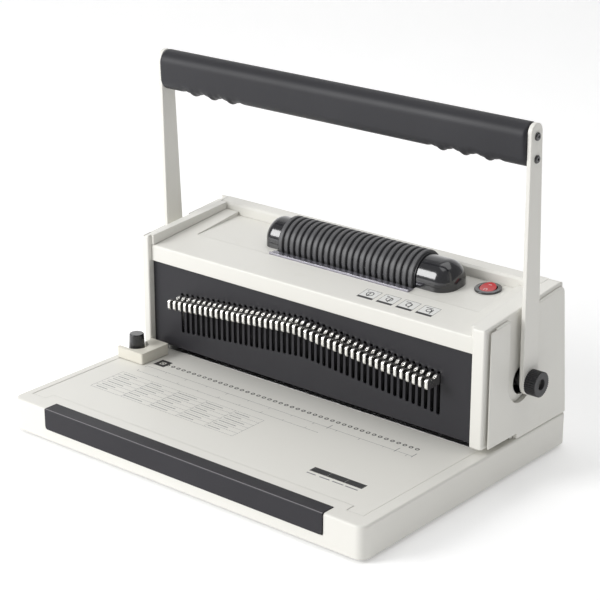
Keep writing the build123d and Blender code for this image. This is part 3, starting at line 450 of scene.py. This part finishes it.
grip_mesh = bmesh.new()
loops = []
for x in stations:
    inset = max(0.0, grip_rounding - (grip_half - abs(x)))
    inset = grip_rounding - math.sqrt(max(0.0, grip_rounding ** 2 - inset ** 2))
    loop = []
    for i in range(grip_sides):
        angle = 2 * math.pi * i / grip_sides
        side = (grip_radius - inset) * math.cos(angle)
        lift = (grip_radius - inset) * math.sin(angle)
        lift += grip_straight if math.sin(angle) >= 0 else -grip_straight
        lower = max(0.0, -math.sin(angle)) ** 0.7
        lift -= lower * ridge_height(x)
        loop.append(grip_mesh.verts.new((x / 1000, side / 1000, lift / 1000)))
    loops.append(loop)
for loop, other in zip(loops, loops[1:]):
    for i in range(grip_sides):
        j = (i + 1) % grip_sides
        grip_mesh.faces.new((loop[i], loop[j], other[j], other[i]))
grip_mesh.faces.new(loops[0])
grip_mesh.faces.new(list(reversed(loops[-1])))
grip = new_piece("grip", grip_mesh, grip_material, "handle", smooth=True)
lean = math.radians(1.9)
reach = 198.45
pivot_y, pivot_z = 212.0, 80.0
grip.matrix_world = (Matrix.Translation((0, (pivot_y - base_middle_y - reach * math.sin(lean)) / 1000,
                                         (pivot_z + reach * math.cos(lean)) / 1000))
                     @ Matrix.Rotation(lean, 4, "X"))
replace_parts(grip, "handle_grip")


# ---- The pull-out tabs ----
# Flat stampings in spring steel, tumbled to round their edges and nickel plated. Each slides in
# the punch beam and locks one pin to it, and has a dip for a fingernail in its upper edge.

pitch = 6.25
half_row = pitch * 22.5
pin_x = [pitch * i - half_row for i in range(46)]
row_end_z, row_rise = 83.7, 12.7
tab_height = 9.3
tab_half_width = 1.5


def tab(mesh_data, x):
    """Add one tab at x, with its edges rounded."""
    low = row_end_z + row_rise * (1 - abs(x) / half_row) - tab_height / 2
    high = low + tab_height
    outline = [(145.0, low + 2.0), (145.6, low + 0.7), (147.0, low), (180.0, low), (180.0, high),
               (158.5, high), (157.3, high - 0.8), (156.8, high - 2.6), (151.6, high - 2.6),
               (150.6, high - 0.8), (149.6, high), (147.0, high), (145.6, high - 0.7), (145.0, high - 2.0)]
    near, far = [[mesh_data.verts.new((face_x / 1000, (y - base_middle_y) / 1000, z / 1000))
                  for y, z in outline] for face_x in (x - tab_half_width, x + tab_half_width)]
    faces = [mesh_data.faces.new(near), mesh_data.faces.new(list(reversed(far)))]
    for i in range(len(outline)):
        j = (i + 1) % len(outline)
        mesh_data.faces.new((near[j], near[i], far[i], far[j]))
    edges = [edge for face in faces for edge in face.edges]
    bmesh.ops.bevel(mesh_data, geom=edges, offset=0.0007, segments=3, affect="EDGES", profile=0.5)


def tabs(name, places, body, node):
    """One piece of tabs in place of a CAD node."""
    mesh_data = bmesh.new()
    for x in places:
        tab(mesh_data, x)
    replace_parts(new_piece(name, mesh_data, nickel, body), node)


for number in (1, 2, 45, 46):
    tabs(f"tab_{number:02d}", [pin_x[number - 1]], f"key_{number:02d}", f"key_tab_{number:02d}")
tabs("tabs_middle", pin_x[2:44], "beam", "key_tabs_middle")


# ---- The marks printed on the deck ----
# Screen-printed grey ink: a small ring under each punch, a square mark round the first of them, two
# scale lines with ticks, and panels of bars that stand in for a table of settings.

deck = 30.8
ink_bottom = deck - 0.01
ink_top = deck + 0.05
punch_row_y = 136.0
black_ink = finish("black_deck_ink", (0.018, 0.018, 0.020), (0.05, 0.05, 0.05), 0.45, grain=1500.0,
                   depth=0.00001)
grey_ink = finish("grey_deck_ink", (0.20, 0.20, 0.21), (0.33, 0.33, 0.33), 0.5, grain=1500.0, depth=0.00001)
printed = bmesh.new()


def deck_bar(x0, x1, y0, y1):
    """Add a printed bar on the deck."""
    bar(printed, x0, x1, y0 - base_middle_y, y1 - base_middle_y, ink_bottom, ink_top)


for x in pin_x:
    ring(printed, x, punch_row_y - base_middle_y, 1.95, 1.05, ink_bottom, ink_top)
x0, x1, y0, y1, wide = -146.8, -134.4, 129.8, 142.2, 3.6
deck_bar(x0, x1, y0, y0 + wide)
deck_bar(x0, x1, y1 - wide, y1)
deck_bar(x0, x0 + wide, y0 + wide, y1 - wide)
deck_bar(x1 - wide, x1, y0 + wide, y1 - wide)
new_piece("deck_ring_print", printed, black_ink, "housing")

printed = bmesh.new()
scale_x, tick_gap, fine = -147.6, 24.0, 0.15
for y, x1 in ((110.0, 59.0), (123.0, 145.4)):
    deck_bar(scale_x, x1, y - fine, y + fine)
for i in range(9):
    x = scale_x + tick_gap * i
    deck_bar(x - fine, x + fine, 110.0, 112.0 if i % 2 else 113.0)
for i in range(13):
    x = scale_x + tick_gap * i
    deck_bar(x - fine, x + fine, 121.0 if i % 2 else 120.0, 123.0)
for x in (59.0, 128.4, 145.4):
    deck_bar(x - 2 * fine, x + 2 * fine, 121.0, 129.0)
new_piece("deck_scale_print", printed, grey_ink, "housing")

printed = bmesh.new()
line_ys = (60.0, 66.7, 73.3, 80.0, 86.7, 93.3, 100.0)
line_xs = (-154.6, -118.0, -86.0, -54.0, -22.0, 9.4)
hairline = 0.12
for y in line_ys:
    deck_bar(line_xs[0], line_xs[-1], y - hairline, y + hairline)
for x in line_xs:
    deck_bar(x - hairline, x + hairline, line_ys[0], line_ys[-1])
for row in range(6):
    for column in range(5):
        x = -150.5 + 32.6 * column
        length = 13.0 + 9.0 * ((row * 5 + column * 3) % 4) / 3
        deck_bar(x, x + length, 62.9 + 6.67 * row, 63.7 + 6.67 * row)
for i in range(4):
    deck_bar(99.0 + 12.8 * i, 99.0 + 12.8 * i + 9.0 + i, 46.6, 47.8)
new_piece("deck_table_print", printed, grey_ink, "housing")
plaque = bmesh.new()
for i in range(3):
    bar(plaque, 98.4 + 17.4 * i, 98.4 + 17.4 * i + 17.2, 51.0 - base_middle_y, 58.5 - base_middle_y,
        ink_bottom, ink_top)
new_piece("deck_plaque_print", plaque, black_ink, "housing")


# ---- The four labels on the sloping top ----
# Thin printed polyester squares stuck in a row over the right half of the tabs. Each has a fine
# border, a dark foot and a plain little drawing.

label_film = finish("label_film", (0.80, 0.80, 0.78), (0.74, 0.74, 0.72), 0.3, grain=300.0, depth=0.000005)
label_half, film_top = 7.6, 0.06
print_bottom, print_top = 0.05, 0.10
top_slope = 0.135
top_front_y, top_front_z = 161.0, 128.5
label_y = 179.25
film = bmesh.new()
drawn = bmesh.new()
for i in range(4):
    x0 = 48.9 + 20.0 * i
    x1 = x0 + 15.8
    bar(film, x0, x1, -label_half, label_half, 0.0, film_top)
    for lines in ((x0, x1, 7.3, label_half), (x0, x1, -label_half, -4.8),
                  (x0, x0 + 0.3, -5.2, 7.3), (x1 - 0.3, x1, -5.2, 7.3)):
        bar(drawn, *lines, print_bottom, print_top)
    middle = (x0 + x1) / 2
    ring(drawn, middle, 1.0, 3.6 - 0.3 * i, 2.8 - 0.3 * i, print_bottom, print_top)
    bar(drawn, middle - 5.2, middle - 4.2 + 2.0 * i, 4.4, 5.2, print_bottom, print_top)
    bar(drawn, middle + 1.2 * i - 1.0, middle + 1.2 * i, -3.4, 3.2, print_bottom, print_top)
label_z = top_front_z + top_slope * (label_y - top_front_y)
for name, mesh_data, material in (("top_labels", film, label_film), ("top_label_print", drawn, black_ink)):
    piece = new_piece(name, mesh_data, material, "housing")
    on_slope(piece, 0.0, label_y, label_z, math.degrees(math.atan(top_slope)))
